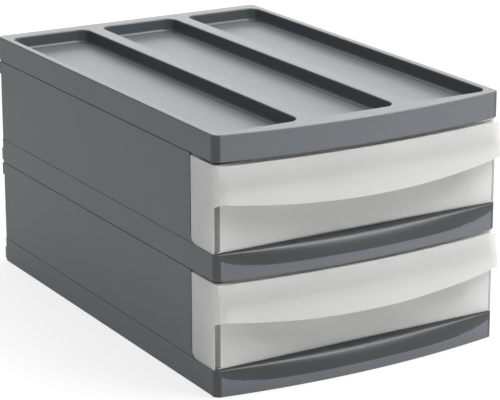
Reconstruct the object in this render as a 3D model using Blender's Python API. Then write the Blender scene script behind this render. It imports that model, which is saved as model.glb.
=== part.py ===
"""Two-tier desktop file drawer unit, modelled moulding by moulding.

Metres, +Z up. The front faces -Y, and the unit stands on z = 0 centred on X and Y. Each
tier is one open-topped housing, closed by the base of the tier above it or by the tray
cover. One clear drawer slides in each tier. Every piece is modelled in a frame of its own,
with y = 0 at its front corners, +Y to the back and z = 0 at its tier's lowest edge, and
its object's location puts it in place.
"""

import math

import bmesh
import bpy
from mathutils import Matrix, Vector

# The whole unit
BODY_WIDTH = 0.2550
BODY_DEPTH = 0.3745
LIP_BOW = 0.0115
TIER_PITCH = 0.09075
SKIRT_HEIGHT = 0.0210
TIER_NAMES = ("lower", "upper")
SEAT_GAP = 0.0003
RUNNING_GAP = 0.0006
OVERRUN = 0.0020
OVERLAP = 0.0009
EDGE_BREAK = 0.0005
FRONT_CORNER_RADIUS = 0.0060
BACK_CORNER_RADIUS = 0.0045
BOW_STEPS = 32
CORNER_STEPS = 5
SMOOTH_ANGLE = math.radians(35)

# Housing walls and base
HOUSING_WALL = 0.0024
WALL_SET_IN = 0.00025
BASE_PLATE = 0.0022
WINDOW_DEPTH = 0.0362
WINDOW_RADIUS = 0.0080
WINDOW_FLANGE = 0.0024
WINDOW_STEPS = 5
TONGUE_WALL = 0.0012
TONGUE_HEIGHT = 0.0030
TONGUE_ROOT = 0.0055
RAIL_WIDTH = 0.0062
RAIL_THICKNESS = 0.0022
RAIL_HEIGHT = 0.0815

# The lip's scoop
LIP_TOP_BOW = 0.0015
SCOOP_END_INSET = 0.0055
SCOOP_LOW_MIDDLE = 0.0070
SCOOP_LOW_END = 0.0130
SCOOP_CURVE_POWER = 5
SCOOP_ROLL_SHARE = 0.5
SCOOP_STEEP_SHARES = (0.75, 0.5)
SCOOP_STEPS = 5
LIP_CORE_BACK = 0.0080
LIP_CORE_DROP_SHARE = 0.6

# Openings, ribs and feet under the base
BASE_WINDOW_WIDTH = 0.0310
BASE_WINDOW_PITCH = 0.0770
BASE_WINDOW_START = 0.0210
BASE_WINDOW_REAR = 0.0300
BASE_WINDOW_BAR = 0.0200
BASE_WINDOW_RADIUS = 0.0040
BASE_WINDOW_COLUMNS = (-1, 0, 1)
BASE_WINDOW_ROWS = 2
RIB_THICKNESS = 0.0016
RIB_DEPTH = 0.0100
CROSS_RIB_DEPTH = 0.0080
FOOT_INSET = 0.0180
FOOT_RADIUS = 0.0063
FOOT_SOCKET_DEPTH = 0.0015
FOOT_PROUD = 0.0005
FOOT_SEAT = 0.0012
FOOT_SOCKET_WALL = 0.0012
FOOT_STEPS = 20

# Lugs on the back
LUG_REACH = 0.0025
LUG_WIDTH = 0.0140
LUG_HEIGHT = 0.0105
LUG_SIDE_INSET = 0.0015
LUG_RISE = 0.0012
LUG_BEVEL = 0.0008

# Tray cover
COVER_RIM = 0.0065
COVER_BACK_RIM = 0.0130
COVER_FRONT_RIM = 0.0060
COVER_RIB = 0.0145
COVER_PLATE = 0.0022
COVER_EDGE = 0.0006
POCKET_COLUMNS = (-1, 0, 1)
POCKET_DEPTH = 0.0110
POCKET_RADIUS = 0.0100
POCKET_DRAFT = 0.0008
POCKET_FILLET = 0.0026
POCKET_EDGE = 0.0014
POCKET_ROUND_STEPS = 3
POCKET_CORNER_STEPS = 6

# Drawers
DRAWER_WALL = 0.0018
DRAWER_FRONT_RADIUS = 0.0045
DRAWER_FRONT_FOOT_RADIUS = 0.0022
DRAWER_FRONT_FOOT_STEPS = 2
DRAWER_SHOULDER_RADIUS = 0.0010
DRAWER_TOP_GAP = 0.0018
DRAWER_REAR_GAP = 0.0012
DRAWER_SIDE_GAP = 0.0006
DRAWER_REAR_RADIUS = 0.0060
DRAWER_FILLET = 0.0050
DRAWER_FILLET_STEPS = 3
FLANGE_REACH = 0.0032

# Stop lugs on a drawer's sides
DRAWER_HOLD = 0.0560
STOP_LENGTH = 0.0110
STOP_FACE = 0.0040
STOP_REACH = 0.0029
STOP_HEIGHT = 0.0300
STOP_RISE = 0.0200

# Handle across a drawer's front
HANDLE_LEAN = 0.0065
HANDLE_WALL = 0.0019
HANDLE_SIDE_INSET = 0.00025
HANDLE_END_REACH = 0.0020
HANDLE_END_RADIUS = 0.0020
HANDLE_DROP = 0.0365
HANDLE_END_DROP = 0.0277
HANDLE_RETURN = 0.0065
HANDLE_RETURN_DROP = 0.0360
HANDLE_RETURN_BEND_SHARES = (0.75, 0.6)
HANDLE_RETURN_STEPS = 4
SHELF_HEIGHT = 0.0700
TROUGH_END_INSET = 0.0060
TROUGH_BACK = 0.0002

HALF_WIDTH = BODY_WIDTH / 2
WALL_HALF_WIDTH = HALF_WIDTH - WALL_SET_IN
BAY_HALF_WIDTH = WALL_HALF_WIDTH - HOUSING_WALL
FLANGE_HALF_WIDTH = BAY_HALF_WIDTH - FLANGE_REACH
WALL_TOP = TIER_PITCH - SEAT_GAP
FRONT_Y = (LIP_BOW + HANDLE_LEAN - BODY_DEPTH - LUG_REACH) / 2

DRAWER_HALF_WIDTH = FLANGE_HALF_WIDTH - DRAWER_SIDE_GAP
DRAWER_BOTTOM = SKIRT_HEIGHT + SEAT_GAP
DRAWER_TOP = TIER_PITCH - DRAWER_TOP_GAP
DRAWER_RIM = RAIL_HEIGHT - RUNNING_GAP
DRAWER_REAR = BODY_DEPTH - HOUSING_WALL - DRAWER_REAR_GAP
DRAWER_SHOULDER = WINDOW_DEPTH - SEAT_GAP
HANDLE_SLOPE = HANDLE_LEAN / HANDLE_DROP

MATERIALS = {
    "grey_plastic": ((0.095, 0.105, 0.110, 1.0), 0.55),
    "clear_plastic": ((0.72, 0.73, 0.72, 0.55), 0.35),
    "foot_rubber": ((0.02, 0.02, 0.02, 1.0), 0.80),
}


# Outlines and solids


def arc(centre, radius, start, end, steps):
    """Points of an arc from angle start to angle end, with both ends."""
    angles = [start + (end - start) * step / steps for step in range(steps + 1)]
    return [
        (centre[0] + radius * math.cos(angle), centre[1] + radius * math.sin(angle))
        for angle in angles
    ]


def corner(x, y, radius, start, steps=CORNER_STEPS):
    """A corner at (x, y) of an anticlockwise outline, rounded through a quarter turn."""
    if radius <= 0:
        return [(x, y)]
    middle = start + math.pi / 4
    centre_x = x - math.copysign(radius, math.cos(middle))
    centre_y = y - math.copysign(radius, math.sin(middle))
    return arc((centre_x, centre_y), radius, start, start + math.pi / 2, steps)


def box_outline(half_width, front, back, front_radius=0.0, back_radius=0.0, steps=CORNER_STEPS):
    """Plan of a box centred on X, with rounded front and back corners."""
    return (
        corner(half_width, back, back_radius, 0.0, steps)
        + corner(-half_width, back, back_radius, math.pi / 2, steps)
        + corner(-half_width, front, front_radius, math.pi, steps)
        + corner(half_width, front, front_radius, 3 * math.pi / 2, steps)
    )


def bowed_outline(half_width, front, back, bow, front_radius, back_radius, inset=0.0):
    """Plan whose front edge bows forward as an arc. Inset draws it in alike on all sides."""
    bow_radius = (half_width**2 + bow**2) / (2 * bow)
    centre_y = front - bow + bow_radius
    fillet_x = half_width - front_radius
    fillet_y = centre_y - math.sqrt((bow_radius - front_radius) ** 2 - fillet_x**2)
    turn = math.atan2(centre_y - fillet_y, fillet_x)
    side = half_width - inset
    rear = back - inset
    rear_radius = max(back_radius - inset, 0.0)
    radius = front_radius - inset
    left = arc((-fillet_x, fillet_y), radius, math.pi, math.pi + turn, CORNER_STEPS)
    front_arc = arc(
        (0.0, centre_y), bow_radius - inset, math.pi + turn, 2 * math.pi - turn, BOW_STEPS
    )
    right = arc((fillet_x, fillet_y), radius, 2 * math.pi - turn, 2 * math.pi, CORNER_STEPS)
    return (
        corner(side, rear, rear_radius, 0.0)
        + corner(-side, rear, rear_radius, math.pi / 2)
        + left
        + front_arc[1:-1]
        + right
    )


def at_height(outline, height):
    """A plan outline as a ring of points at one height."""
    return [(x, y, height) for x, y in outline]


def at_side(profile, x):
    """A side profile of (y, z) points as a ring of points at one x."""
    return [(x, y, z) for y, z in profile]


def solid_from(name, mesh, shape):
    """Puts a finished bmesh into its mesh, on an object of its own."""
    shape.to_mesh(mesh)
    shape.free()
    solid = bpy.data.objects.new(name, mesh)
    bpy.context.scene.collection.objects.link(solid)
    return solid


def loft(name, rings):
    """A closed solid through rings of equal point count, capped at both ends."""
    mesh = bpy.data.meshes.new(name)
    shape = bmesh.new()
    rows = [[shape.verts.new(point) for point in ring] for ring in rings]
    for low, high in zip(rows, rows[1:]):
        for a in range(len(low)):
            b = (a + 1) % len(low)
            shape.faces.new((low[a], low[b], high[b], high[a]))
    shape.faces.new(reversed(rows[0]))
    shape.faces.new(rows[-1])
    bmesh.ops.recalc_face_normals(shape, faces=shape.faces)
    return solid_from(name, mesh, shape)


def prism(name, outline, low, high):
    """A plan outline drawn up from one height to another."""
    return loft(name, [at_height(outline, low), at_height(outline, high)])


def turned_ring(name, centre, profile):
    """A closed profile of (radius, height) points turned right round an upright axis."""
    mesh = bpy.data.meshes.new(name)
    shape = bmesh.new()
    rows = []
    for step in range(FOOT_STEPS):
        angle = 2 * math.pi * step / FOOT_STEPS
        rows.append(
            [
                shape.verts.new(
                    (
                        centre[0] + radius * math.cos(angle),
                        centre[1] + radius * math.sin(angle),
                        height,
                    )
                )
                for radius, height in profile
            ]
        )
    for row, after in zip(rows, rows[1:] + rows[:1]):
        for a in range(len(profile)):
            b = (a + 1) % len(profile)
            shape.faces.new((row[a], after[a], after[b], row[b]))
    bmesh.ops.recalc_face_normals(shape, faces=shape.faces)
    return solid_from(name, mesh, shape)


def bar(name, x_ends, y_ends, z_ends):
    """A square-cut bar between two places along each axis."""
    left, right = x_ends
    front, back = y_ends
    outline = [(right, back), (left, back), (left, front), (right, front)]
    return prism(name, outline, *z_ends)


def combine(body, tool, operation):
    """Joins, cuts or intersects body with tool, and uses the tool up."""
    change = body.modifiers.new(tool.name, "BOOLEAN")
    change.operation = operation
    change.object = tool
    graph = bpy.context.evaluated_depsgraph_get()
    mesh = bpy.data.meshes.new_from_object(body.evaluated_get(graph))
    body.modifiers.clear()
    old = body.data
    body.data = mesh
    bpy.data.meshes.remove(old)
    bpy.data.objects.remove(tool)


def join(body, *tools):
    for tool in tools:
        combine(body, tool, "UNION")


def cut(body, *tools):
    for tool in tools:
        combine(body, tool, "DIFFERENCE")


def both_sides(outline):
    """The same plan outline on the left and on the right."""
    return outline, [(-x, y) for x, y in reversed(outline)]


# Shapes that housings and cover share


def skirt_outline(inset=0.0):
    """Plan of the band at the foot of a tier, and of the cover."""
    return bowed_outline(
        HALF_WIDTH,
        0.0,
        BODY_DEPTH,
        LIP_BOW,
        FRONT_CORNER_RADIUS,
        BACK_CORNER_RADIUS,
        inset,
    )


def bow_at(x):
    """How far the skirt's front face stands before its corners at this x."""
    radius = (HALF_WIDTH**2 + LIP_BOW**2) / (2 * LIP_BOW)
    return LIP_BOW - radius + math.sqrt(radius**2 - x**2)


def back_lugs(rise):
    """Lugs that stand out of the back wall beside its corners, at one height."""
    right = HALF_WIDTH - LUG_SIDE_INSET
    left = right - LUG_WIDTH
    steps = (
        (BODY_DEPTH - OVERLAP, 0.0),
        (BODY_DEPTH + LUG_REACH - LUG_BEVEL, 0.0),
        (BODY_DEPTH + LUG_REACH, LUG_BEVEL),
    )
    lugs = []
    for side in (-1, 1):
        rings = []
        for y, inset in steps:
            low, high = rise + inset, rise + LUG_HEIGHT - inset
            near, far = side * (left + inset), side * (right - inset)
            rings.append([(near, y, low), (far, y, low), (far, y, high), (near, y, high)])
        lugs.append(loft("lug", rings))
    return lugs


# Housing


def scoop_low(x):
    """Height of the scoop's lower edge, which climbs towards the corners."""
    share = abs(x) / (HALF_WIDTH - SCOOP_END_INSET)
    return SCOOP_LOW_MIDDLE + (SCOOP_LOW_END - SCOOP_LOW_MIDDLE) * share**SCOOP_CURVE_POWER


def scoop_curve(x, back=0.0, drop=0.0):
    """Section of the scoop at x, from the lip's top edge down to the crisp lower edge.

    The curve rolls over at the top and then falls steeply. Back and drop move it into the
    wall, for the hollow behind it.
    """
    share = x / (HALF_WIDTH - SCOOP_END_INSET)
    top = Vector((back - LIP_TOP_BOW * (1 - share**2), SKIRT_HEIGHT - EDGE_BREAK - drop))
    low = Vector((back - bow_at(x), scoop_low(x) - drop))
    fall = low - top
    roll = top + Vector((fall.x * SCOOP_ROLL_SHARE, 0.0))
    steep = top + Vector((fall.x * SCOOP_STEEP_SHARES[0], fall.y * SCOOP_STEEP_SHARES[1]))
    points = []
    for step in range(SCOOP_STEPS + 1):
        t = step / SCOOP_STEPS
        s = 1 - t
        points.append(s**3 * top + 3 * s**2 * t * roll + 3 * s * t**2 * steep + t**3 * low)
    return [(point.x, point.y) for point in points]


def stations(reach):
    """Places across the width, from -reach to reach."""
    return [reach * (2 * step / BOW_STEPS - 1) for step in range(BOW_STEPS + 1)]


def bow_places():
    """Where the points of the skirt's front edge stand, between its round corners."""
    radius = (HALF_WIDTH**2 + LIP_BOW**2) / (2 * LIP_BOW)
    reach = HALF_WIDTH - FRONT_CORNER_RADIUS
    turn = math.asin(reach / (radius - FRONT_CORNER_RADIUS))
    return [radius * math.sin(share) for share in stations(turn)]


def scoop_cutter():
    """Everything in front of the scoop's surface, which runs out on the round corners."""
    rings = []
    places = bow_places()
    past = HALF_WIDTH + OVERRUN
    for x in [-past] + places + [past]:
        curve = scoop_curve(max(places[0], min(x, places[-1])))
        (y1, z1), (y2, z2) = curve[-2:]
        slope = (z2 - z1) / (y2 - y1)
        out = y2 - OVERRUN
        low = (out, z2 - OVERRUN * slope)
        above = SKIRT_HEIGHT + OVERRUN
        face = [(curve[0][0], above)] + curve[:-1]
        rings.append(at_side(face + [low, (out, above)], x))
    return loft("scoop", rings)


def lip_core():
    """Hollow behind the lip's face, which follows the scoop one wall inside it."""
    rings = []
    top = SKIRT_HEIGHT - BASE_PLATE
    drop = HOUSING_WALL * LIP_CORE_DROP_SHARE
    for x in stations(HALF_WIDTH - FRONT_CORNER_RADIUS - HOUSING_WALL):
        curve = [(y, min(z, top)) for y, z in scoop_curve(x, HOUSING_WALL, drop)]
        low = [(curve[-1][0], -OVERRUN), (LIP_CORE_BACK, -OVERRUN), (LIP_CORE_BACK, top)]
        rings.append(at_side(curve + low, x))
    return loft("lip_core", rings)


def window_profile(front, rear, low, high, radius):
    """Side view of the drawer's window: its lower rear corner is round."""
    turned = arc((rear - radius, low + radius), radius, -math.pi / 2, 0.0, WINDOW_STEPS)
    return [(front, low)] + turned + [(rear, high), (front, high)]


def base_windows():
    """Long openings through the base plate, in columns and rows."""
    span = BODY_DEPTH - BASE_WINDOW_START - BASE_WINDOW_REAR
    length = (span - BASE_WINDOW_BAR * (BASE_WINDOW_ROWS - 1)) / BASE_WINDOW_ROWS
    half = BASE_WINDOW_WIDTH / 2
    windows = []
    for row in range(BASE_WINDOW_ROWS):
        front = BASE_WINDOW_START + row * (length + BASE_WINDOW_BAR)
        outline = box_outline(
            half, front, front + length, BASE_WINDOW_RADIUS, BASE_WINDOW_RADIUS
        )
        for column in BASE_WINDOW_COLUMNS:
            place = [(x + column * BASE_WINDOW_PITCH, y) for x, y in outline]
            low = SKIRT_HEIGHT - BASE_PLATE - OVERRUN
            windows.append(prism("base_window", place, low, SKIRT_HEIGHT + OVERRUN))
    return windows


def base_ribs():
    """Stiffening ribs under the base plate, between the openings."""
    top = SKIRT_HEIGHT - BASE_PLATE + OVERLAP
    low = SKIRT_HEIGHT - BASE_PLATE - RIB_DEPTH
    half = RIB_THICKNESS / 2
    back = BODY_DEPTH - HOUSING_WALL + OVERLAP
    ribs = []
    for side in (-1, 1):
        x = side * BASE_WINDOW_PITCH / 2
        ribs.append(bar("long_rib", (x - half, x + half), (0.0, back), (low, top)))
    middle = (BODY_DEPTH + BASE_WINDOW_START - BASE_WINDOW_REAR) / 2
    reach = HALF_WIDTH - HOUSING_WALL + OVERLAP
    ends = (SKIRT_HEIGHT - BASE_PLATE - CROSS_RIB_DEPTH, top)
    ribs.append(bar("cross_rib", (-reach, reach), (middle - half, middle + half), ends))
    return ribs


def foot_places():
    """Name and place of each foot."""
    x = HALF_WIDTH - FOOT_INSET
    rows = (("front", FOOT_INSET), ("back", BODY_DEPTH - FOOT_INSET))
    sides = (("left", -x), ("right", x))
    return [(f"foot_{row}_{side}", (px, y)) for row, y in rows for side, px in sides]


def boss_profile():
    """Half section of a foot's boss: a tube under the base plate with a stepped mouth."""
    bore = FOOT_RADIUS - FOOT_SEAT
    socket = FOOT_RADIUS + SEAT_GAP
    outside = socket + FOOT_SOCKET_WALL
    top = SKIRT_HEIGHT - OVERLAP
    return [
        (outside, SEAT_GAP),
        (outside, top),
        (bore, top),
        (bore, FOOT_SOCKET_DEPTH),
        (socket, FOOT_SOCKET_DEPTH),
        (socket, SEAT_GAP),
    ]


def build_housing():
    """One tier: skirt and lip, base plate, two side walls and a back wall in one moulding."""
    housing = loft(
        "housing",
        [
            at_height(skirt_outline(EDGE_BREAK), 0.0),
            at_height(skirt_outline(), EDGE_BREAK),
            at_height(skirt_outline(), SKIRT_HEIGHT),
        ],
    )
    wall_back = BODY_DEPTH - WALL_SET_IN
    wall_rings = []
    for inset, height in (
        (0.0, SKIRT_HEIGHT - OVERLAP),
        (0.0, WALL_TOP - EDGE_BREAK),
        (EDGE_BREAK, WALL_TOP),
    ):
        outline = box_outline(
            WALL_HALF_WIDTH - inset,
            WINDOW_RADIUS,
            wall_back - inset,
            0.0,
            BACK_CORNER_RADIUS,
        )
        wall_rings.append(at_height(outline, height))
    tongue_inset = HOUSING_WALL + SEAT_GAP
    tongue = prism(
        "tongue",
        box_outline(
            HALF_WIDTH - tongue_inset,
            WINDOW_DEPTH + SEAT_GAP,
            BODY_DEPTH - tongue_inset,
            0.0,
            BACK_CORNER_RADIUS - HOUSING_WALL,
        ),
        WALL_TOP - TONGUE_ROOT,
        WALL_TOP + TONGUE_HEIGHT,
    )
    join(housing, loft("walls", wall_rings), tongue)

    # The window is open across the whole front, above the lip
    top = WALL_TOP + TONGUE_HEIGHT + OVERRUN
    profile = window_profile(
        -LIP_BOW - OVERRUN, WINDOW_DEPTH, SKIRT_HEIGHT, top, WINDOW_RADIUS
    )
    reach = HALF_WIDTH + OVERRUN
    cut(housing, loft("window", [at_side(profile, -reach), at_side(profile, reach)]))

    # The bay: a flange at the window, a rail over the drawer's walls, then the rim
    front = -LIP_BOW - OVERRUN
    flange_back = WINDOW_DEPTH + WINDOW_FLANGE
    bay_back = BODY_DEPTH - HOUSING_WALL
    rail_half_width = BAY_HALF_WIDTH - RAIL_WIDTH
    rim_inset = tongue_inset + TONGUE_WALL
    rim_half_width = HALF_WIDTH - rim_inset
    rail_top = RAIL_HEIGHT + RAIL_THICKNESS
    bay_radius = BACK_CORNER_RADIUS - HOUSING_WALL
    cut(
        housing,
        prism(
            "bay_mouth",
            box_outline(FLANGE_HALF_WIDTH, front, flange_back + OVERLAP),
            SKIRT_HEIGHT,
            RAIL_HEIGHT,
        ),
        prism(
            "bay",
            box_outline(BAY_HALF_WIDTH, flange_back, bay_back, 0.0, bay_radius),
            SKIRT_HEIGHT,
            RAIL_HEIGHT,
        ),
        prism(
            "between_rails",
            box_outline(rail_half_width, front, bay_back),
            RAIL_HEIGHT - OVERLAP,
            top,
        ),
        prism(
            "rim",
            box_outline(rim_half_width, front, BODY_DEPTH - rim_inset, 0.0, bay_radius),
            rail_top,
            top,
        ),
    )

    # The underside is a tray upside down, with the lip hollow too
    core = box_outline(
        HALF_WIDTH - HOUSING_WALL,
        LIP_CORE_BACK - OVERLAP,
        BODY_DEPTH - HOUSING_WALL,
        0.0,
        BACK_CORNER_RADIUS - HOUSING_WALL,
    )
    cut(
        housing,
        scoop_cutter(),
        prism("core", core, -OVERRUN, SKIRT_HEIGHT - BASE_PLATE),
        lip_core(),
    )
    join(housing, *base_ribs())
    cut(housing, *base_windows())

    for _, place in foot_places():
        join(housing, turned_ring("boss", place, boss_profile()))
    join(housing, *back_lugs(LUG_RISE))
    join(housing, *back_lugs(WALL_TOP - LUG_RISE - LUG_HEIGHT))
    return housing


# Foot


def build_foot():
    """Round rubber pad with a broken lower edge, modelled about its own centre."""
    low = -FOOT_PROUD
    high = FOOT_SOCKET_DEPTH - SEAT_GAP
    rings = []
    for inset, height in ((EDGE_BREAK, low), (0.0, low + EDGE_BREAK), (0.0, high)):
        around = arc((0.0, 0.0), FOOT_RADIUS - inset, 0.0, 2 * math.pi, FOOT_STEPS)
        rings.append(at_height(around[:-1], height))
    return loft("foot", rings)


# Tray cover


def pocket_outline(column, grow):
    """Plan of one pocket, grown or drawn in on all sides."""
    width = (BODY_WIDTH - 2 * COVER_RIM - 2 * COVER_RIB) / len(POCKET_COLUMNS)
    middle = column * (width + COVER_RIB)
    radius = POCKET_RADIUS + grow
    outline = box_outline(
        width / 2 + grow,
        COVER_FRONT_RIM - grow,
        BODY_DEPTH - COVER_BACK_RIM + grow,
        radius,
        radius,
        POCKET_CORNER_STEPS,
    )
    return [(x + middle, y) for x, y in outline]


def build_cover():
    """Lid with three long tray pockets, whose skirt stands on the top tier's walls."""
    top = SKIRT_HEIGHT
    cover = loft(
        "cover",
        [
            at_height(skirt_outline(EDGE_BREAK), 0.0),
            at_height(skirt_outline(), EDGE_BREAK),
            at_height(skirt_outline(), top - COVER_EDGE),
            at_height(skirt_outline(COVER_EDGE), top),
        ],
    )
    cut(
        cover,
        prism("cover_core", skirt_outline(HOUSING_WALL), -OVERRUN, top - COVER_PLATE),
    )
    floor = top - POCKET_DEPTH
    for column in POCKET_COLUMNS:
        bucket = loft(
            "bucket",
            [
                at_height(
                    pocket_outline(column, COVER_PLATE - POCKET_DRAFT), floor - COVER_PLATE
                ),
                at_height(pocket_outline(column, COVER_PLATE), top - POCKET_EDGE),
            ],
        )
        join(cover, bucket)
    for column in POCKET_COLUMNS:
        fillet = arc(
            (-POCKET_DRAFT - POCKET_FILLET, floor + POCKET_FILLET),
            POCKET_FILLET,
            -math.pi / 2,
            0.0,
            POCKET_ROUND_STEPS,
        )
        edge = arc(
            (POCKET_EDGE, top - POCKET_EDGE),
            POCKET_EDGE,
            math.pi,
            math.pi / 2,
            POCKET_ROUND_STEPS,
        )
        steps = fillet + edge + [(POCKET_EDGE, top + OVERRUN)]
        rings = [at_height(pocket_outline(column, grow), height) for grow, height in steps]
        cut(cover, loft("pocket", rings))
    join(cover, *back_lugs(LUG_RISE))
    return cover


# Drawer


def front_block(inset, top):
    """Full-width front of a drawer as a solid, or its cavity when drawn in by a wall."""
    half = WALL_HALF_WIDTH - inset
    low = DRAWER_BOTTOM + inset
    rear = DRAWER_SHOULDER - inset
    foot = max(DRAWER_FRONT_FOOT_RADIUS - inset, EDGE_BREAK)
    turned = arc(
        (inset + foot, low + foot), foot, math.pi, 3 * math.pi / 2, DRAWER_FRONT_FOOT_STEPS
    )
    radius = WINDOW_RADIUS - SEAT_GAP - inset
    profile = window_profile(inset, rear, low, top, radius)
    profile = turned + profile[1:]
    reach = half + OVERRUN
    block = loft("front_block", [at_side(profile, -reach), at_side(profile, reach)])
    outline = box_outline(
        half, inset, rear, DRAWER_FRONT_RADIUS - inset, max(DRAWER_SHOULDER_RADIUS - inset, 0.0)
    )
    combine(
        block,
        prism("front_plan", outline, low - OVERRUN, top + OVERRUN),
        "INTERSECT",
    )
    return block


def rear_block(inset, front, top):
    """Narrow rear part of a drawer, with a filleted foot, or its cavity."""
    half = DRAWER_HALF_WIDTH - inset
    low = DRAWER_BOTTOM + inset
    rear = DRAWER_REAR - inset
    fillet = DRAWER_FILLET - inset
    corner_radius = DRAWER_REAR_RADIUS - inset
    rings = []
    for step in range(DRAWER_FILLET_STEPS + 1):
        angle = math.pi / 2 * step / DRAWER_FILLET_STEPS
        drawn = fillet * (1 - math.sin(angle))
        outline = box_outline(
            half - drawn, front, rear - drawn, 0.0, max(corner_radius - drawn, EDGE_BREAK)
        )
        rings.append(at_height(outline, low + fillet * (1 - math.cos(angle))))
    outline = box_outline(half, front, rear, 0.0, corner_radius)
    rings.append(at_height(outline, top))
    return loft("rear_block", rings)


def handle_outline(inset, height):
    """Plan of the handle's bulge at one height: it leans out towards its foot."""
    lean = HANDLE_SLOPE * (DRAWER_TOP - height)
    return bowed_outline(
        WALL_HALF_WIDTH - HANDLE_SIDE_INSET,
        -HANDLE_END_REACH - lean,
        HANDLE_RETURN,
        LIP_BOW - HANDLE_END_REACH,
        HANDLE_END_RADIUS,
        0.0,
        inset,
    )


def under_handle():
    """What lies below the handle's lower edge, which climbs from the middle to the ends."""
    half = WALL_HALF_WIDTH - HANDLE_SIDE_INSET
    low = DRAWER_TOP - HANDLE_DROP - 2 * OVERRUN
    out = -LIP_BOW - HANDLE_LEAN - 2 * OVERRUN
    rings = []
    for x in stations(half + OVERRUN):
        share = min(abs(x) / half, 1.0)
        drop = HANDLE_DROP + (HANDLE_END_DROP - HANDLE_DROP) * share**2
        edge = DRAWER_TOP - drop
        rings.append(
            at_side([(OVERLAP, low), (OVERLAP, edge), (out, edge), (out, low)], x)
        )
    return rings


def build_handle():
    """Bowed skirt with closed ends, which hangs in front of the drawer from a shelf."""
    low = DRAWER_TOP - HANDLE_DROP - OVERRUN
    handle = loft(
        "handle",
        [
            at_height(handle_outline(0.0, low), low),
            at_height(handle_outline(0.0, DRAWER_TOP), DRAWER_TOP),
        ],
    )
    shelf = SHELF_HEIGHT
    inside = WALL_HALF_WIDTH - HANDLE_SIDE_INSET - HANDLE_WALL

    # The finger gap behind the skirt, and the skirt's bowed lower edge
    below = low - OVERRUN
    gap = loft(
        "finger_gap",
        [
            at_height(handle_outline(HANDLE_WALL, below), below),
            at_height(handle_outline(HANDLE_WALL, shelf), shelf),
        ],
    )
    keep = bar(
        "wall_keep",
        (-HALF_WIDTH, HALF_WIDTH),
        (OVERLAP, HANDLE_RETURN + OVERRUN),
        (below - OVERRUN, shelf + OVERRUN),
    )
    cut(gap, keep)
    edge = loft("lower_edge", under_handle())
    limit = bar(
        "lower_edge_limit",
        (-inside, inside),
        (-LIP_BOW - HANDLE_LEAN - 3 * OVERRUN, HANDLE_RETURN),
        (below - 2 * OVERRUN, DRAWER_TOP),
    )
    combine(edge, limit, "INTERSECT")
    cut(handle, gap, edge)

    # Each end's lower edge falls in a curve to the drawer's side
    end_front = -HANDLE_END_REACH - HANDLE_SLOPE * HANDLE_END_DROP
    start = Vector((end_front - OVERRUN, DRAWER_TOP - HANDLE_END_DROP))
    end = Vector((HANDLE_RETURN, DRAWER_TOP - HANDLE_RETURN_DROP))
    along, down = HANDLE_RETURN_BEND_SHARES
    bend = Vector(
        (start.x + (end.x - start.x) * along, start.y + (end.y - start.y) * (1 - down))
    )
    curve = []
    for step in range(HANDLE_RETURN_STEPS + 1):
        t = step / HANDLE_RETURN_STEPS
        point = (1 - t) ** 2 * start + 2 * t * (1 - t) * bend + t**2 * end
        curve.append((point.x, point.y))
    out = -LIP_BOW - HANDLE_LEAN - OVERRUN
    back = HANDLE_RETURN + OVERRUN
    profile = (
        [(out, below), (out, start.y)] + curve + [(back, end.y), (back, below)]
    )
    for side in (-1, 1):
        near = side * (inside - DRAWER_FRONT_RADIUS)
        far = side * (HALF_WIDTH + OVERRUN)
        cut(handle, loft("handle_end", [at_side(profile, near), at_side(profile, far)]))
    return handle


def handle_trough(above):
    """The open trough over the shelf, between the skirt and the drawer's front wall."""
    shelf_top = SHELF_HEIGHT + HANDLE_WALL
    trough = loft(
        "trough",
        [
            at_height(handle_outline(HANDLE_WALL, shelf_top), shelf_top),
            at_height(handle_outline(HANDLE_WALL, above), above),
        ],
    )
    reach = HALF_WIDTH - TROUGH_END_INSET
    front = -LIP_BOW - HANDLE_LEAN
    limit = bar(
        "trough_limit",
        (-reach, reach),
        (front, -TROUGH_BACK),
        (shelf_top - OVERRUN, above + OVERRUN),
    )
    combine(trough, limit, "INTERSECT")
    return trough


def stop_lugs():
    """Ramped lugs on the drawer's sides, which meet the window flange at full reach."""
    back = DRAWER_REAR - DRAWER_HOLD
    front = back - STOP_LENGTH
    root = DRAWER_HALF_WIDTH - OVERLAP
    out = DRAWER_HALF_WIDTH + STOP_REACH
    outline = [(root, front), (out, front), (out, front + STOP_FACE), (root, back)]
    low = DRAWER_BOTTOM + STOP_RISE
    return [
        prism("stop_lug", side, low, low + STOP_HEIGHT) for side in both_sides(outline)
    ]


def build_drawer():
    """One clear moulding: tray, flat front wall, shelf and hanging handle skirt."""
    drawer = front_block(0.0, DRAWER_TOP)
    inner_front = DRAWER_SHOULDER / 2
    join(drawer, rear_block(0.0, inner_front, DRAWER_RIM), build_handle(), *stop_lugs())
    above = DRAWER_TOP + OVERRUN
    cut(
        drawer,
        front_block(DRAWER_WALL, above),
        rear_block(DRAWER_WALL, inner_front - DRAWER_FILLET, above),
        handle_trough(above),
    )
    return drawer


# Materials and placing


def make_material(name):
    colour, roughness = MATERIALS[name]
    material = bpy.data.materials.new(name)
    material.use_nodes = True
    shader = material.node_tree.nodes["Principled BSDF"]
    shader.inputs["Base Color"].default_value = colour
    shader.inputs["Alpha"].default_value = colour[3]
    shader.inputs["Roughness"].default_value = roughness
    shader.inputs["Metallic"].default_value = 0.0
    return material


def finish(model, name, material, place):
    """Names a finished model, gives it its own material and puts it in place."""
    model.name = name
    model.data.name = name
    model.data.materials.clear()
    model.data.materials.append(make_material(material))
    model.data.shade_smooth()
    model.data.set_sharp_from_angle(angle=SMOOTH_ANGLE)
    model.matrix_world = Matrix.Translation(place)
    return model


def copy_of(model):
    """A second piece from the same mould, with a mesh of its own."""
    twin = model.copy()
    twin.data = model.data.copy()
    bpy.context.scene.collection.objects.link(twin)
    return twin


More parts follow.
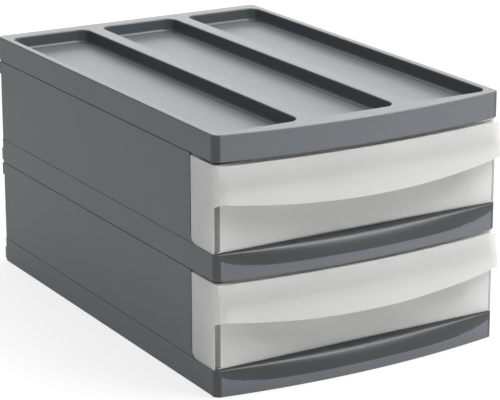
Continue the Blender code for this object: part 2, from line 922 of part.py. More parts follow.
def main():
    for old in list(bpy.data.objects):
        bpy.data.objects.remove(old)

    housing = build_housing()
    drawer = build_drawer()
    foot = build_foot()
    for tier, name in enumerate(TIER_NAMES):
        last = tier == len(TIER_NAMES) - 1
        place = Vector((0.0, FRONT_Y, FOOT_PROUD + tier * TIER_PITCH))
        finish(
            housing if last else copy_of(housing), f"{name}_housing", "grey_plastic", place
        )
        finish(drawer if last else copy_of(drawer), f"{name}_drawer", "clear_plastic", place)

    places = foot_places()
    for name, (x, y) in places:
        model = foot if name == places[-1][0] else copy_of(foot)
        finish(model, name, "foot_rubber", Vector((x, y + FRONT_Y, FOOT_PROUD)))

    cover_height = FOOT_PROUD + len(TIER_NAMES) * TIER_PITCH
    finish(build_cover(), "top_cover", "grey_plastic", Vector((0.0, FRONT_Y, cover_height)))


main()
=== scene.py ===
"""Desktop file drawer unit: two grey housings, a tray cover and two clear drawers.

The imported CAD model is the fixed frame. Each moulding is taken from it, cleaned into one smooth
skin and given a material for the plastic that it is moulded in. A studio with a pale floor and
a camera at the photograph's viewing angle stand round it.
"""

import logging
import math
from collections.abc import Callable
from dataclasses import dataclass, field
from enum import Enum

import bpy
from mathutils import Matrix, Vector


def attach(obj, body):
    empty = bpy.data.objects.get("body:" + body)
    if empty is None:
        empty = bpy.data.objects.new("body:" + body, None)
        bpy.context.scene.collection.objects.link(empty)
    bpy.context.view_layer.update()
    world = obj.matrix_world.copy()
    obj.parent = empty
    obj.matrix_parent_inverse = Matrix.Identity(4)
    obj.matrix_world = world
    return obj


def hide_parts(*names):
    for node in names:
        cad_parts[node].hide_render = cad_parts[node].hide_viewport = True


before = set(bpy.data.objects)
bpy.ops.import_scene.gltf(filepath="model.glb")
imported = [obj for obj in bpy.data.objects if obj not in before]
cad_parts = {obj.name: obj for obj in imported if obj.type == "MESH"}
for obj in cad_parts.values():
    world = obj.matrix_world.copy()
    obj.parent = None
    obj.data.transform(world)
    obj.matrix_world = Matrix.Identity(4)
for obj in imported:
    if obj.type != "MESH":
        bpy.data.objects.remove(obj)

LOG = logging.getLogger("file_drawer")
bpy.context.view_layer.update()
MM = 0.001
IMAGE_WIDTH = 500
SENSOR_WIDTH = 36.0
# A noise texture's values lie mostly in this span
NOISE_LOW = 0.3
NOISE_HIGH = 0.7
# Two places closer than TINY count as one, and no divisor is less than NEARLY_ZERO, in millimetres
TINY = 1e-6
NEARLY_ZERO = 1e-9


def linear(hex_colour: str) -> tuple[float, float, float, float]:
    """Turns an sRGB colour into Blender's linear one.

    Args:
        hex_colour: six hex digits, with or without a leading #.

    Returns:
        Linear red, green and blue, and an alpha of 1.
    """
    digits = hex_colour.lstrip("#")
    channels = []
    for start in (0, 2, 4):
        value = int(digits[start : start + 2], 16) / 255
        channels.append(value / 12.92 if value <= 0.04045 else ((value + 0.055) / 1.055) ** 2.4)
    return channels[0], channels[1], channels[2], 1.0


def add_node(
    tree: bpy.types.NodeTree, kind: str, settings: dict | None = None, **inputs: object
) -> bpy.types.Node:
    """Adds a node with its settings, values and links.

    Args:
        tree: the node tree that gets the node.
        kind: Blender's type name of the node.
        settings: properties of the node, by name.
        **inputs: a value or an output socket for each input, by the input's name with
            underscores for spaces, or by its number as in i0.

    Returns:
        The new node.
    """
    node = tree.nodes.new(kind)
    for name, value in (settings or {}).items():
        setattr(node, name, value)
    for name, value in inputs.items():
        numbered = name[0] == "i" and name[1:].isdigit()
        socket = node.inputs[int(name[1:])] if numbered else node.inputs[name.replace("_", " ")]
        if isinstance(value, bpy.types.NodeSocket):
            tree.links.new(value, socket)
        else:
            socket.default_value = value
    return node


def new_material(name: str) -> bpy.types.Material:
    """Makes a material whose node tree is empty."""
    material = bpy.data.materials.new(name)
    material.use_nodes = True
    material.node_tree.nodes.clear()
    return material


def pattern(
    tree: bpy.types.NodeTree, millimetres: float, detail: float = 2.0
) -> bpy.types.NodeSocket:
    """A noise on object coordinates, sized in real millimetres.

    Args:
        tree: the material's node tree.
        millimetres: length of one blotch or grain.
        detail: octaves of finer noise on top of the main size.

    Returns:
        The noise's output, from 0 to 1.
    """
    place = add_node(tree, "ShaderNodeTexCoord").outputs["Object"]
    scale = 1 / (millimetres * MM)
    noise = add_node(tree, "ShaderNodeTexNoise", Vector=place, Scale=scale, Detail=detail)
    return noise.outputs["Fac"]


def remap(
    tree: bpy.types.NodeTree, value: bpy.types.NodeSocket, low: float, high: float
) -> bpy.types.NodeSocket:
    """Spreads a noise's usual span over low to high.

    Args:
        tree: the material's node tree.
        value: the noise.
        low: result at the low end of the noise's usual span.
        high: result at its high end.

    Returns:
        The spread value, which isn't clamped.
    """
    spread = add_node(
        tree,
        "ShaderNodeMapRange",
        {"clamp": False},
        Value=value,
        From_Min=NOISE_LOW,
        From_Max=NOISE_HIGH,
        To_Min=low,
        To_Max=high,
    )
    return spread.outputs["Result"]


def seen_by_eye(tree: bpy.types.NodeTree, gloss_share: float) -> bpy.types.NodeSocket:
    """Tells the rays that show the studio from those that light the object.

    Args:
        tree: the node tree of a material or of the world.
        gloss_share: result for rays that a gloss sends out.

    Returns:
        1 for rays to the camera and through clear plastic, and 0 for diffuse rays.
    """
    ray = add_node(tree, "ShaderNodeLightPath")
    direct = add_node(
        tree,
        "ShaderNodeMath",
        {"operation": "MAXIMUM"},
        i0=ray.outputs["Is Camera Ray"],
        i1=ray.outputs["Is Transmission Ray"],
    )
    gloss = add_node(
        tree,
        "ShaderNodeMath",
        {"operation": "MULTIPLY"},
        i0=ray.outputs["Is Glossy Ray"],
        i1=gloss_share,
    )
    seen = add_node(
        tree,
        "ShaderNodeMath",
        {"operation": "MAXIMUM"},
        i0=direct.outputs["Value"],
        i1=gloss.outputs["Value"],
    )
    return seen.outputs["Value"]


class Tier(Enum):
    """The unit's two tiers, by their names in the CAD model."""

    LOWER = "lower"
    UPPER = "upper"


@dataclass(frozen=True)
class GrainedPlastic:
    """Injection-moulded styrene plastic with a spark-eroded grain.

    The mould's fine grain breaks reflections up into a soft sheen, so the grey stays even from
    side to side and lightens towards grazing angles.
    """

    name: str = "grained_grey_styrene"
    tone: str = "#44484b"
    light_tone: str = "#474b4e"
    roughness: float = 0.42
    roughness_spread: float = 0.05
    grain_mm: float = 0.9
    grain_depth_mm: float = 0.010
    grain_detail: float = 3.0
    flow_mm: float = 60.0
    flow_detail: float = 1.0
    refraction: float = 1.50

    def build(self) -> bpy.types.Material:
        """Makes the material.

        Returns:
            The material, with colour, roughness and bump from noise in real millimetres.
        """
        material = new_material(self.name)
        tree = material.node_tree
        # Melt flow leaves wide, faint clouds in the colour
        flow = remap(tree, pattern(tree, self.flow_mm, self.flow_detail), 0.0, 1.0)
        colour = add_node(
            tree,
            "ShaderNodeMix",
            {"data_type": "RGBA"},
            i0=flow,
            i6=linear(self.tone),
            i7=linear(self.light_tone),
        )
        # The grain is 0.1 to 0.3 mm across in life and is drawn coarser, so that it shows
        grain = pattern(tree, self.grain_mm, self.grain_detail)
        rough = remap(
            tree,
            grain,
            self.roughness - self.roughness_spread,
            self.roughness + self.roughness_spread,
        )
        bump = add_node(
            tree, "ShaderNodeBump", Strength=1.0, Distance=self.grain_depth_mm * MM, Height=grain
        )
        shader = add_node(
            tree,
            "ShaderNodeBsdfPrincipled",
            Base_Color=colour.outputs[2],
            Roughness=rough,
            IOR=self.refraction,
            Normal=bump.outputs["Normal"],
        )
        add_node(tree, "ShaderNodeOutputMaterial", Surface=shader.outputs["BSDF"])
        return material


@dataclass(frozen=True)
class MilkyPlastic:
    """Clear styrene moulded thin, with a little white in the melt.

    Light passes with a veil over what lies behind, and a polished mould gives the faces a crisp
    gloss.
    """

    name: str = "milky_clear_styrene"
    tone: str = "#f4f4f2"
    clearness: float = 0.36
    glow: float = 0.42
    roughness: float = 0.16
    tint: str = "#f7f8f8"
    cloud_mm: float = 60.0
    cloud_detail: float = 0.0
    cloud_share: float = 0.02
    refraction: float = 1.58

    def build(self) -> bpy.types.Material:
        """Makes the material.

        Returns:
            The material: a see-through share, a lit share and a share lit from behind.
        """
        material = new_material(self.name)
        tree = material.node_tree
        clouds = pattern(tree, self.cloud_mm, self.cloud_detail)
        veil = 1.0 - self.clearness
        share = remap(tree, clouds, veil - self.cloud_share, veil + self.cloud_share)
        lit = add_node(
            tree,
            "ShaderNodeBsdfPrincipled",
            Base_Color=linear(self.tone),
            Roughness=self.roughness,
            IOR=self.refraction,
        )
        behind = add_node(tree, "ShaderNodeBsdfTranslucent", Color=linear(self.tone))
        body = add_node(
            tree,
            "ShaderNodeMixShader",
            Fac=self.glow,
            i1=lit.outputs["BSDF"],
            i2=behind.outputs["BSDF"],
        )
        clear = add_node(tree, "ShaderNodeBsdfTransparent", Color=linear(self.tint))
        surface = add_node(
            tree,
            "ShaderNodeMixShader",
            Fac=share,
            i1=clear.outputs["BSDF"],
            i2=body.outputs["Shader"],
        )
        add_node(tree, "ShaderNodeOutputMaterial", Surface=surface.outputs["Shader"])
        return material


@dataclass(frozen=True)
class FootRubber:
    """Die-cut black rubber, dull and slightly dusty."""

    name: str = "black_foot_rubber"
    tone: str = "#222323"
    dusty_tone: str = "#2e2e2d"
    roughness: float = 0.85
    dust_mm: float = 4.0

    def build(self) -> bpy.types.Material:
        """Makes the material.

        Returns:
            The material, whose colour is mottled as by dust.
        """
        material = new_material(self.name)
        tree = material.node_tree
        dust = remap(tree, pattern(tree, self.dust_mm), 0.0, 1.0)
        colour = add_node(
            tree,
            "ShaderNodeMix",
            {"data_type": "RGBA"},
            i0=dust,
            i6=linear(self.tone),
            i7=linear(self.dusty_tone),
        )
        shader = add_node(
            tree,
            "ShaderNodeBsdfPrincipled",
            Base_Color=colour.outputs[2],
            Roughness=self.roughness,
        )
        add_node(tree, "ShaderNodeOutputMaterial", Surface=shader.outputs["BSDF"])
        return material


@dataclass(frozen=True)
class PaleFloor:
    """Matt white studio sheet, nearly white to the camera, in a gloss and through clear plastic."""

    name: str = "white_studio_sheet"
    tone: str = "#f4f4f4"
    whitened: float = 0.80
    gloss_share: float = 1.0

    def build(self) -> bpy.types.Material:
        """Makes the material.

        Returns:
            The material: matt for all light, and mixed with plain white where it is seen.
        """
        material = new_material(self.name)
        tree = material.node_tree
        matt = add_node(tree, "ShaderNodeBsdfDiffuse", Color=linear(self.tone))
        white = add_node(tree, "ShaderNodeEmission", Color=linear("#ffffff"), Strength=1.0)
        seen = seen_by_eye(tree, self.gloss_share)
        share = add_node(
            tree, "ShaderNodeMath", {"operation": "MULTIPLY"}, i0=seen, i1=self.whitened
        )
        surface = add_node(
            tree,
            "ShaderNodeMixShader",
            Fac=share.outputs["Value"],
            i1=matt.outputs["BSDF"],
            i2=white.outputs["Emission"],
        )
        add_node(tree, "ShaderNodeOutputMaterial", Surface=surface.outputs["Shader"])
        return material


@dataclass
class Moulding:
    """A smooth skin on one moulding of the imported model."""

    node: str
    body: str
    slot: str
    weld_mm: float = 0.01
    flat_degrees: float = 0.2
    smooth_degrees: float = 35.0
    face_weight: int = 100

    def skin(self) -> bpy.types.Object:
        """Copies the CAD node's surface, welds it and smooths its curved faces.

        Returns:
            The new piece, which stands for the CAD node.
        """
        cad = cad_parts[self.node]
        mesh = cad.data.copy()
        mesh.materials.clear()
        piece = bpy.data.objects.new(f"{self.node}_moulding", mesh)
        bpy.context.scene.collection.objects.link(piece)
        bpy.ops.object.select_all(action="DESELECT")
        piece.select_set(True)
        bpy.context.view_layer.objects.active = piece
        bpy.ops.object.mode_set(mode="EDIT")
        bpy.ops.mesh.select_all(action="SELECT")
        bpy.ops.mesh.remove_doubles(threshold=self.weld_mm * MM)
        bpy.ops.mesh.dissolve_limited(angle_limit=math.radians(self.flat_degrees))
        bpy.ops.object.mode_set(mode="OBJECT")
        bpy.ops.object.shade_smooth_by_angle(angle=math.radians(self.smooth_degrees))
        bpy.ops.object.modifier_add(type="WEIGHTED_NORMAL")
        piece.modifiers[-1].keep_sharp = True
        piece.modifiers[-1].weight = self.face_weight
        bpy.ops.object.modifier_apply(modifier=piece.modifiers[-1].name)
        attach(piece, self.body)
        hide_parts(self.node)
        return piece

    def dress(
        self,
        piece: bpy.types.Object,
        material: bpy.types.Material,
        *others: tuple[bpy.types.Material, Callable[[Vector, Vector], bool]],
    ) -> None:
        """Gives the piece its material, and picked faces others.

        Args:
            piece: the moulding.
            material: the material of most of its faces.
            *others: a material and a picker each. A picker takes a face's middle and normal,
                and says whether the face gets that material.
        """
        piece.data.materials.append(material)
        for index, (other, picked) in enumerate(others, start=1):
            piece.data.materials.append(other)
            for face in piece.data.polygons:
                if picked(face.center, face.normal):
                    face.material_index = index


@dataclass
class LipFace:
    """The front of a housing's lip: band, crisp edge, scoop and top roll.

    Sizes are those of the moulding, in millimetres. Rows run from the lip's foot to its top and
    columns from one side wall, round both corners, to the other. The points of a grid are
    placed by computed sections, chosen so that the scoop runs out evenly on the round corners.
    """

    base: float
    front: float = -179.5
    half_width: float = 127.5
    bow: float = 11.5
    corner_radius: float = 6.0
    height: float = 21.0
    edge_break: float = 0.5
    top_bow: float = 1.5
    top_round: float = 0.15
    top_reach: float = 0.9
    low_middle: float = 7.0
    low_end: float = 13.0
    low_reach: float = 122.0
    low_power: float = 5.0
    held_past: float = 0.53
    roll_share: float = 0.5
    steep_shares: tuple[float, float] = (0.75, 0.5)
    end_drop: float = 0.3
    proud: float = 0.06
    rim_low: float = 0.2
    rim_side: float = 0.15
    rim_top: float = 0.02
    thickness: float = 1.1
    smooth_degrees: float = 30.0
    # Where the polish with painted shade lies: past the scoop's end, behind the bow and above the
    # crisp edge
    polish_and_shade_held_past: float = 0.5
    polish_and_shade_behind: float = 0.12
    polish_and_shade_above: float = 0.05
    post_past: float = 0.6
    bow_steps: int = 96
    corner_steps: int = 14
    band_steps: int = 4
    scoop_steps: int = 22

    @property
    def radius(self) -> float:
        """Radius of the bow, seen from above."""
        return (self.half_width**2 + self.bow**2) / (2 * self.bow)

    def bow_front(self, x: float) -> float:
        """Y of the bowed front at x."""
        return self.radius - self.bow - math.sqrt(self.radius**2 - x**2)

    def low_edge(self, x: float) -> float:
        """Height of the scoop's crisp lower edge at x."""
        share = abs(x) / self.low_reach
        return self.low_middle + (self.low_end - self.low_middle) * share**self.low_power

    def outline(self) -> list[tuple[float, float]]:
        """Draws the plan of the lip's front face.

        Returns:
            Points from the left side wall to the right one.
        """
        reach = self.half_width - self.corner_radius
        turn = math.asin(reach / (self.radius - self.corner_radius))
        middle_y = self.radius - self.bow
        centre_y = middle_y - math.cos(turn) * (self.radius - self.corner_radius)
        right = []
        for step in range(1, self.corner_steps + 1):
            angle = turn + (math.pi / 2 - turn) * step / self.corner_steps
            x = reach + self.corner_radius * math.sin(angle)
            right.append((x, centre_y - self.corner_radius * math.cos(angle)))
        bowed = []
        for step in range(self.bow_steps + 1):
            angle = turn * (2 * step / self.bow_steps - 1)
            bowed.append((self.radius * math.sin(angle), middle_y - self.radius * math.cos(angle)))
        left = [(-x, y) for x, y in reversed(right)]
        return left + bowed + right

    def scoop(self, x: float) -> list[tuple[float, float]]:
        """Draws the scoop's section, which is held as it is past the scoop's ends.

        It is a Bezier curve from the top roll to the crisp edge. Its first handle lies level
        with the roll, roll_share of the way forward. Its second lies steep_shares of the way
        forward and down.

        Args:
            x: place across the lip.

        Returns:
            Points (y, z) from the crisp lower edge up to the top roll.
        """
        end = self.low_reach + self.held_past
        held = max(-end, min(x, end))
        share = abs(held) / self.low_reach
        top_y = -self.top_bow * (1 - share**2)
        top_z = self.height - self.edge_break
        fall_y = self.bow_front(held) - top_y
        fall_z = self.low_edge(held) - top_z
        along, down = self.steep_shares
        section = []
        for step in range(self.scoop_steps, -1, -1):
            t = step / self.scoop_steps
            s = 1 - t
            reach = 3 * self.roll_share * s * s * t + 3 * along * s * t * t + t**3
            drop = 3 * down * s * t * t + t**3
            section.append((top_y + fall_y * reach, top_z + fall_z * drop))
        return section

    def crisp_edge(self, x: float, front: float) -> float:
        """Finds where the scoop meets the front face.

        Args:
            x: place across the lip.
            front: y of the front face there.

        Returns:
            Height of the meeting point.
        """
        section = self.scoop(x)
        inside = (n for n, (y, _) in enumerate(section) if max(y, front) > front + TINY)
        first = next(inside, 0)
        if first == 0:
            return section[0][1]
        (y0, z0), (y1, z1) = section[first - 1], section[first]
        share = (front - y0) / (y1 - y0) if y1 > y0 else 1.0
        return z0 + (z1 - z0) * min(max(share, 0.0), 1.0)

    def column(self, x: float, front: float) -> list[Vector]:
        """Draws one column of the lip's skin, from its foot to its top and back over it.

        Args:
            x: place across the lip.
            front: y of the front face there.

        Returns:
            Its points, in metres.
        """
        section = [(max(y, front), z) for y, z in self.scoop(x)]
        if section[-1][0] <= front + TINY:
            edge = section[-1][1] - self.end_drop
            upper = self.plain_rows(front, edge)
        else:
            edge = self.crisp_edge(x, front)
            upper = [(front, edge)] + [(y, z) for y, z in section if z > edge + TINY]
            upper = self.spread(upper) if len(upper) > 1 else self.plain_rows(front, edge)
        rise = (edge - self.edge_break) / self.band_steps
        foot = [(front, 0.0), (front, self.edge_break)]
        band = [(front, self.edge_break + rise * n) for n in range(1, self.band_steps)]
        top_y = upper[-1][0]
        back = [
            (top_y, self.height - self.top_round),
            (top_y + self.top_round, self.height),
            (top_y + self.top_reach, self.height),
        ]
        rows = foot + band + upper + back
        return [Vector((x, self.front + y, self.base + z)) * MM for y, z in rows]

    def plain_rows(self, front: float, low: float) -> list[tuple[float, float]]:
        """Rows of a column past the scoop's end, straight up the front face."""
        rise = (self.height - self.edge_break - low) / self.scoop_steps
        return [(front, low + rise * n) for n in range(self.scoop_steps + 1)]

    def spread(self, section: list[tuple[float, float]]) -> list[tuple[float, float]]:
        """Divides a section again, so that each column has the same count of rows.

        Args:
            section: points from the crisp edge to the top.

        Returns:
            The divided section.
        """
        lengths = [0.0]
        for one, two in zip(section, section[1:]):
            lengths.append(lengths[-1] + math.dist(one, two))
        divided = []
        spot = 0
        for step in range(self.scoop_steps + 1):
            goal = lengths[-1] * step / self.scoop_steps
            while spot < len(lengths) - 2 and lengths[spot + 1] < goal:
                spot += 1
            span = max(lengths[spot + 1] - lengths[spot], NEARLY_ZERO)
            share = min(max((goal - lengths[spot]) / span, 0.0), 1.0)
            (y0, z0), (y1, z1) = section[spot], section[spot + 1]
            divided.append((y0 + (y1 - y0) * share, z0 + (z1 - z0) * share))
        return divided

    def build(self, name: str) -> bpy.types.Object:
        """Shapes a grid into the lip's skin and gives it a thickness.

        Args:
            name: name of the piece.

        Returns:
            The skin, which lies on the housing's lip.
        """
        columns = [self.column(x, front) for x, front in self.outline()]
        across, up = len(columns), len(columns[0])
        bpy.ops.object.select_all(action="DESELECT")
        bpy.ops.mesh.primitive_grid_add(
            x_subdivisions=across - 1, y_subdivisions=up - 1, size=2.0, location=(0.0, 0.0, 0.0)
        )
        piece = bpy.context.active_object
        piece.name = name
        for vertex in piece.data.vertices:
            place = round((vertex.co.x + 1) / 2 * (across - 1))
            row = round((vertex.co.y + 1) / 2 * (up - 1))
            vertex.co = columns[place][row]
        piece.data.update()
        self.lift(piece)
        bpy.ops.object.modifier_add(type="SOLIDIFY")
        piece.modifiers[-1].thickness = self.thickness * MM
        piece.modifiers[-1].offset = -1.0
        bpy.ops.object.modifier_apply(modifier=piece.modifiers[-1].name)
        bpy.ops.object.shade_smooth_by_angle(angle=math.radians(self.smooth_degrees))
        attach(piece, "housing")
        return piece

    def lift(self, piece: bpy.types.Object) -> None:
        """Moves the skin a hair off the housing, and its rim a hair into it."""
        normals = [vertex.normal.copy() for vertex in piece.data.vertices]
        low = (self.base + self.rim_low) * MM
        side = (self.half_width - self.rim_side) * MM
        top = (self.base + self.height - self.rim_top) * MM
        for vertex, normal in zip(piece.data.vertices, normals):
            at_rim = vertex.co.z < low or abs(vertex.co.x) > side or vertex.co.z > top
            vertex.co += normal * (-self.proud if at_rim else self.proud) * MM
        piece.data.update()

    def dress(
        self, piece: bpy.types.Object, grained_and_lit: bpy.types.Material, polished_shaded: bpy.types.Material
    ) -> None:
        """Gives the band its grain with painted light, and the scoop and round corners their polish
        with painted shade.

        Args:
            piece: the lip's skin.
            grained_and_lit: material of the band, a fine grain with painted light.
            polished_shaded: material of the scoop and the round corners, a polish with painted
                shade.
        """
        piece.data.materials.append(grained_and_lit)
        piece.data.materials.append(polished_shaded)
        for face in piece.data.polygons:
            x, y, z = face.center / MM
            held = min(abs(x), self.low_reach + self.polish_and_shade_held_past)
            behind = y - self.front > self.bow_front(held) + self.polish_and_shade_behind
            above = z - self.base > self.low_edge(held) + self.polish_and_shade_above
            on_post = abs(x) > self.low_reach + self.post_past
            face.material_index = int(on_post or (behind and above))


@dataclass
class Softbox:
    """A rectangular lamp."""

    name: str
    place: tuple[float, float, float]
    aim: tuple[float, float, float]
    size: tuple[float, float]
    watts: float

    def build(self) -> bpy.types.Object:
        """Makes the lamp and turns it to its aim.

        Returns:
            The lamp, which the camera doesn't see.
        """
        data = bpy.data.lights.new(self.name, "AREA")
        data.shape = "RECTANGLE"
        data.size, data.size_y = self.size
        data.energy = self.watts
        lamp = bpy.data.objects.new(self.name, data)
        bpy.context.scene.collection.objects.link(lamp)
        lamp.location = self.place
        direction = Vector(self.aim) - Vector(self.place)
        lamp.rotation_euler = direction.to_track_quat("-Z", "Y").to_euler()
        lamp.visible_camera = False
        return lamp


@dataclass
class Studio:
    """Floor, lamps and the room's own light."""

    floor_size: float = 12.0
    room_light: float = 0.02
    room_gloss: float = 0.25
    lamps: tuple[Softbox, ...] = (
        Softbox("overhead_softbox", (0.40, 0.55, 1.85), (0.1, 0.20, 0.0), (1.8, 1.8), 40.0),
        Softbox("rear_high_softbox", (0.90, 1.60, 1.25), (0.0, 0.0, 0.2), (2.4, 1.4), 10.0),
        Softbox("rear_low_softbox", (1.15, 1.95, 0.65), (0.0, 0.0, 0.2), (2.4, 1.1), 17.0),
        Softbox("left_softbox", (-1.80, -0.5, 1.00), (-0.1, 0.0, 0.05), (1.6, 1.2), 8.5),
        Softbox("front_softbox", (1.0, -1.1, 2.0), (0.0, -0.2, 0.0), (1.3, 1.0), 63.0),
        Softbox("right_softbox", (1.70, -0.15, 0.50), (0.0, -0.1, 0.1), (1.6, 1.1), 9.0),
    )

    def build(self) -> None:
        """Makes the floor, the lamps and the room."""
        bpy.ops.object.select_all(action="DESELECT")
        bpy.ops.mesh.primitive_plane_add(size=self.floor_size, location=(0.0, 0.0, 0.0))
        floor = bpy.context.active_object
        floor.name = "studio_floor"
        floor.data.materials.append(PaleFloor().build())
        for lamp in self.lamps:
            lamp.build()
        self.room()

    def room(self) -> None:
        """Dim light from all round, with a background that is white to the eye.

        The camera sees it white, also through clear plastic, and a gloss at about a quarter.
        """
        world = bpy.data.worlds.new("studio_room")
        world.use_nodes = True
        bpy.context.scene.world = world
        tree = world.node_tree
        tree.nodes.clear()
        strength = add_node(
            tree,
            "ShaderNodeMapRange",
            Value=seen_by_eye(tree, self.room_gloss),
            To_Min=self.room_light,
            To_Max=1.0,
        )
        background = add_node(
            tree,
            "ShaderNodeBackground",
            Color=linear("#ffffff"),
            Strength=strength.outputs["Result"],
        )
        add_node(tree, "ShaderNodeOutputWorld", Surface=background.outputs["Background"])


@dataclass
class PhotoCamera:
    """Camera at the photograph's viewing angle, with its sizes in pixels and degrees."""

    place: tuple[float, float, float] = (-0.8734, -1.4901, 0.6212)
    yaw: float = 30.636
    pitch: float = -16.135
    roll: float = -0.092
    focal_pixels: float = 2179.7
    shift_pixels: float = -40.0

    def build(self) -> bpy.types.Object:
        """Makes the camera and hands it to the scene.

        Returns:
            The camera.
        """
        yaw, pitch, roll = (math.radians(angle) for angle in (self.yaw, self.pitch, self.roll))
        flat = math.cos(pitch)
        forward = Vector((math.sin(yaw) * flat, math.cos(yaw) * flat, math.sin(pitch)))
        level = Vector((math.cos(yaw), -math.sin(yaw), 0.0))
        above = level.cross(forward)
        right = level * math.cos(roll) + above * math.sin(roll)
        up = above * math.cos(roll) - level * math.sin(roll)
        turned = Matrix((right, up, -forward)).transposed()
        data = bpy.data.cameras.new("photo_camera")
        data.sensor_width = SENSOR_WIDTH
        data.lens = self.focal_pixels / IMAGE_WIDTH * SENSOR_WIDTH
        data.shift_y = self.shift_pixels / IMAGE_WIDTH
        camera = bpy.data.objects.new("photo_camera", data)
        bpy.context.scene.collection.objects.link(camera)
        camera.matrix_world = Matrix.Translation(self.place) @ turned.to_4x4()
        bpy.context.scene.camera = camera
        return camera


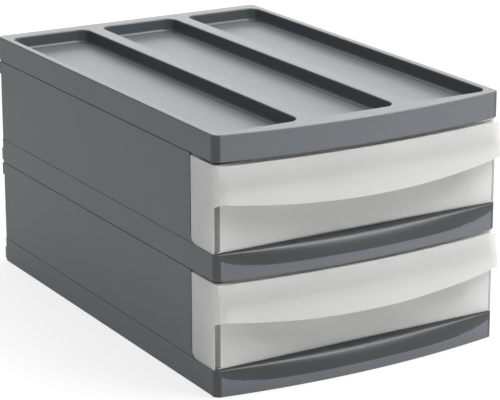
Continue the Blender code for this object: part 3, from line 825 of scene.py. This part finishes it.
@dataclass
class DrawerUnit:
    """The whole unit: housings, cover, drawers and feet.

    Lengths are in millimetres, and shares are parts of a face's normal.
    """

    feet: tuple[str, ...] = field(
        default_factory=lambda: tuple(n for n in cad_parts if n.startswith("foot_"))
    )
    tier_base: dict[Tier, float] = field(
        default_factory=lambda: {Tier.LOWER: 0.5, Tier.UPPER: 91.25}
    )
    front: float = -179.5
    facing_share: float = 0.95
    upright_share: float = 0.05
    front_depth: float = 1.0
    post_depth: float = 6.0
    post_front_share: float = 0.1
    post_side_share: float = 0.2
    skirt_gap: float = 0.2
    side_wall: float = 126.5
    corner_start: float = 122.8
    corner_depth: float = 4.6
    corner_front_share: float = 0.4
    corner_side_shares: tuple[float, float] = (0.1, 0.8)
    drawer_top: float = 88.95
    top_tolerance: float = 0.05
    rim_behind: float = 0.3
    rim_ease: float = 1.0

    def depth(self, middle: Vector) -> float:
        """How far a face's middle lies behind the line of the front corners, in millimetres."""
        return middle.y / MM - self.front

    def on_front(self, middle: Vector, normal: Vector) -> bool:
        """Says whether a face of the cover is on its bowed front, which gets painted light."""
        return normal.y < -self.facing_share and self.depth(middle) < self.front_depth

    def on_post(self, middle: Vector, normal: Vector) -> bool:
        """Says whether a face of the cover is on a round front corner, which gets painted shade."""
        turned = normal.y < -self.post_front_share and abs(normal.x) > self.post_side_share
        upright = abs(normal.z) < self.upright_share
        return turned and upright and self.depth(middle) < self.post_depth

    def on_handle(self, middle: Vector, normal: Vector) -> bool:
        """Says whether a drawer's face is part of the handle skirt or of a side window."""
        at_side = abs(normal.x) > self.facing_share and abs(middle.x) > self.side_wall * MM
        return self.depth(middle) < -self.skirt_gap or at_side

    def on_corner(self, middle: Vector, normal: Vector) -> bool:
        """Says whether a drawer's face is on a round front corner, seen through its thickness,
        which gets painted shade.
        """
        low, high = self.corner_side_shares
        turned = low < abs(normal.x) < high and normal.y < -self.corner_front_share
        upright = abs(normal.z) < self.upright_share
        outside = abs(middle.x) > self.corner_start * MM
        return turned and upright and outside and 0 < self.depth(middle) < self.corner_depth

    def ease_rim(self, piece: bpy.types.Object, base: float) -> None:
        """Lowers the skirt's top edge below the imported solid's, for a gap under the lip above.

        Args:
            piece: the drawer.
            base: height of its tier.
        """
        top = base + self.drawer_top
        for vertex in piece.data.vertices:
            at_top = abs(vertex.co.z / MM - top) < self.top_tolerance
            if at_top and self.depth(vertex.co) < -self.rim_behind:
                vertex.co.z -= self.rim_ease * MM
        piece.data.update()

    def greys(self) -> tuple[bpy.types.Material, bpy.types.Material, bpy.types.Material]:
        """Makes the finishes of the grey plastic.

        Returns:
            The plain grain, the polish of scoops and corners with painted shade, and the fine grain
            of the fronts with painted light.
        """
        grey = GrainedPlastic().build()
        # The polished places and the fronts are one plastic with the rest. Their tones stand in
        # for the photograph's light, which leaves the corners dim and falls on the fronts.
        # Scoops and corners: a stone-polished mould leaves hardly any grain, so a soft highlight
        # runs along the roll. Their darker tone is painted shade.
        polished_shaded = GrainedPlastic(
            name="polished_shaded_grey_styrene",
            tone="#3b3e40",
            light_tone="#3d4042",
            roughness=0.40,
            roughness_spread=0.02,
            grain_depth_mm=0.002,
        ).build()
        # Fronts: a shallow etch with a finer grain than the top's, which looks smooth from afar.
        # Their lighter tone is painted light.
        fine_and_lit = GrainedPlastic(
            name="fine_grained_lit_grey_styrene",
            tone="#5f6367",
            light_tone="#62666a",
            roughness=0.38,
            grain_mm=0.7,
            grain_depth_mm=0.006,
        ).build()
        return grey, polished_shaded, fine_and_lit

    def clears(self) -> tuple[bpy.types.Material, bpy.types.Material, bpy.types.Material]:
        """Makes the finishes of the clear plastic.

        Returns:
            The milky walls, the frosted handle and the thick round corners with painted shade.
        """
        # The handle's mould is blasted, so the skirt scatters light and hides what is behind it
        frosted = MilkyPlastic(
            name="frosted_handle_styrene",
            tone="#e6e6e4",
            clearness=0.20,
            glow=0.40,
            roughness=0.34,
        )
        # A round corner is seen along its thickness, which looks greyer than a wall. How grey
        # it is was matched to the photograph.
        # Painted shade: the grey tone stands in for the darker look of light bent through the
        # corner's thickness; the tint adds the longer path through the plastic, which is the same
        # as the walls'
        thick_shaded = MilkyPlastic(
            name="thick_corner_shaded_styrene",
            tone="#8c8d8b",
            clearness=0.58,
            glow=0.20,
            roughness=0.12,
            tint="#d2d2d0",
        )
        return MilkyPlastic().build(), frosted.build(), thick_shaded.build()

    def build(self) -> None:
        """Skins and dresses every moulding."""
        grey, polished_shaded, fine_and_lit = self.greys()
        milky, frosted, thick_shaded = self.clears()
        rubber = FootRubber().build()
        cover = Moulding("top_cover", "housing", "grey_plastic")
        piece = cover.skin()
        cover.dress(piece, grey, (fine_and_lit, self.on_front), (polished_shaded, self.on_post))
        self.report(piece)
        for tier in Tier:
            shell = Moulding(f"{tier.value}_housing", "housing", "grey_plastic")
            piece = shell.skin()
            shell.dress(piece, grey)
            self.report(piece)
            lip = LipFace(self.tier_base[tier])
            piece = lip.build(f"{tier.value}_lip_face")
            lip.dress(piece, fine_and_lit, polished_shaded)
            self.report(piece)
            drawer = Moulding(f"{tier.value}_drawer", f"{tier.value}_drawer", "clear_plastic")
            piece = drawer.skin()
            self.ease_rim(piece, self.tier_base[tier])
            drawer.dress(piece, milky, (frosted, self.on_handle), (thick_shaded, self.on_corner))
            self.report(piece)
        for name in self.feet:
            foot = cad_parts[name]
            foot.data.materials.clear()
            foot.data.materials.append(rubber)

    def report(self, piece: bpy.types.Object) -> None:
        """Logs a finished piece."""
        LOG.info("%s: %d faces", piece.name, len(piece.data.polygons))


def main() -> None:
    """Builds the unit, the studio and the camera."""
    logging.basicConfig(level=logging.INFO, format="%(message)s")
    bpy.context.scene.view_settings.view_transform = "Standard"
    DrawerUnit().build()
    Studio().build()
    PhotoCamera().build()


if __name__ == "__main__":
    main()
